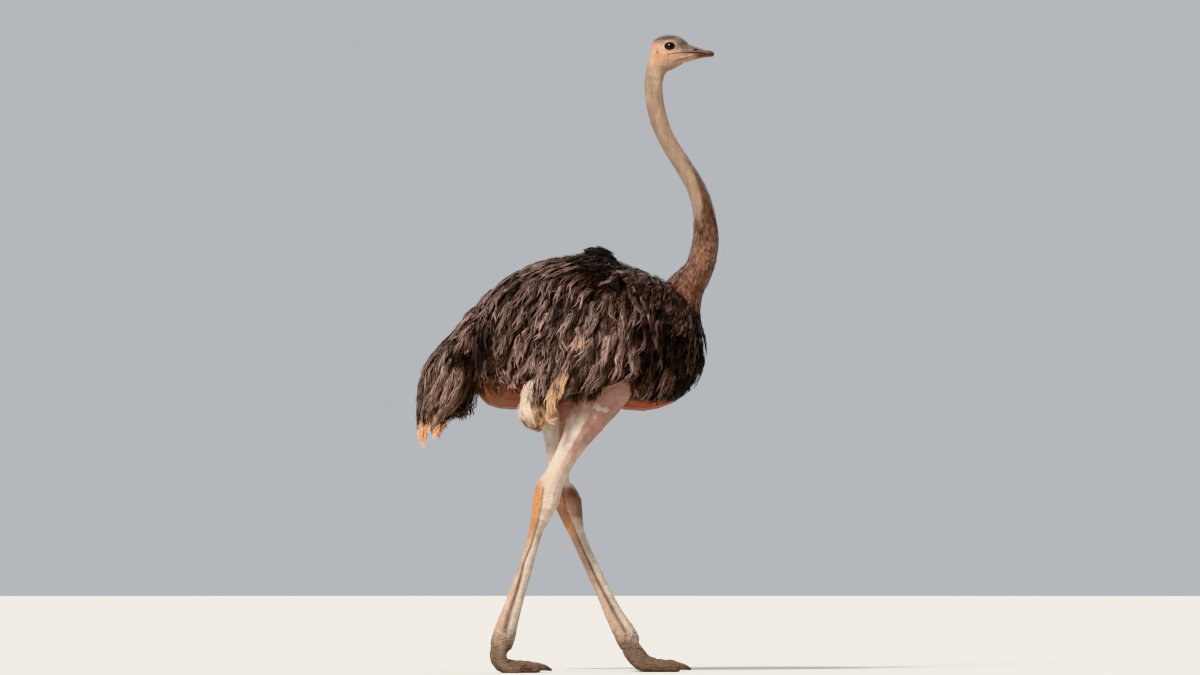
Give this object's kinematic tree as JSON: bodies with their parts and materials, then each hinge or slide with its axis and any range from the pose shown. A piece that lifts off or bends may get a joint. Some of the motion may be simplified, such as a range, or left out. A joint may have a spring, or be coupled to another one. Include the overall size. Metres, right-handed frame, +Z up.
{
  "type": "ostrich",
  "caption": "Life-size still model of a walking common ostrich with dark brown-black plumage, long raised neck and bare legs.",
  "frame": {"origin": "on the floor, under the middle of the whole bird's bounding box", "axes": "+X forward, the way the bill points; +Y the bird's left; +Z up"},
  "size_m": [1.0042, 0.5572, 2.124],
  "materials": {
    "plumage": "matte dark brown-black feathers in long wavy locks",
    "tail_plumes": "matte dark brown plumes with pale buff tips",
    "neck_down": "short matte down, beige-grey above and brown below",
    "face": "thinly haired warm beige skin",
    "bill_horn": "satin horn, grey-brown with a reddish tip",
    "eyes": "wet, very dark brown",
    "bare_skin": "bare pale pinkish grey skin, finely creased",
    "leg_scales": "dry scaled skin, pale on the shank and orange-brown at the hock",
    "claws": "worn dark horn"
  },
  "bodies": {
    "root": {"trunk": "plumage", "wing_right": "plumage", "wing_left": "plumage", "tail": "tail_plumes", "neck_base": "neck_down", "neck_middle": "neck_down", "neck_upper": "neck_down", "head": "face", "bill_upper": "bill_horn", "bill_lower": "bill_horn", "eye_right": "eyes", "eye_left": "eyes", "shank_right": "bare_skin", "shank_left": "bare_skin", "tarsus_right": "leg_scales", "tarsus_left": "leg_scales", "foot_right": "leg_scales", "foot_left": "leg_scales", "big_toe_right": "leg_scales", "big_toe_left": "leg_scales", "small_toe_right": "leg_scales", "small_toe_left": "leg_scales", "claw_right": "claws", "claw_left": "claws"}
  },
  "joints": []
}
